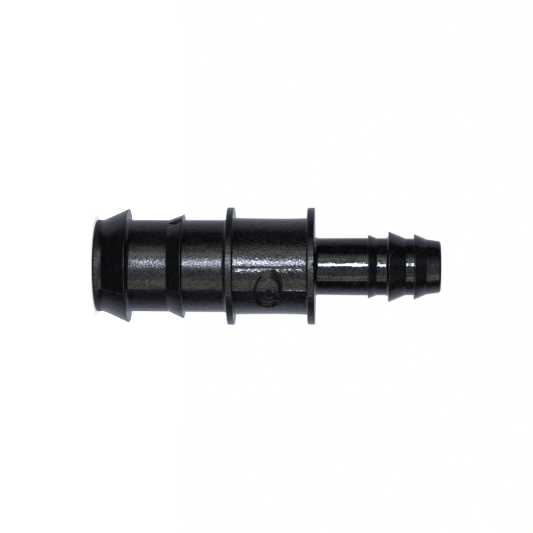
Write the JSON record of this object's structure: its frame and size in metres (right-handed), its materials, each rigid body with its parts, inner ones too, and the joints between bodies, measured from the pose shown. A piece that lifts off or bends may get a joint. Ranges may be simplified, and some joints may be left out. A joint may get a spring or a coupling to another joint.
{
  "type": "hose barb reducer",
  "caption": "Straight moulded plastic reducer that joins a 20 mm hose to a 12.5 mm hose, with barbed ends, two collars and a barrel between them.",
  "frame": {"origin": "centre of the large end's rim, on the surface that the part stands on", "axes": "+Z along the common axis of the bores, from the large end up to the small end; the gate recess faces 59 degrees below +X, between +X and -Y"},
  "size_m": [0.0254, 0.0254, 0.0748],
  "materials": {
    "moulded_plastic": "black moulded plastic, satin on the large end and the barrel, polished on the small end"
  },
  "bodies": {
    "root": {"reducer_body": "moulded_plastic"}
  },
  "joints": []
}
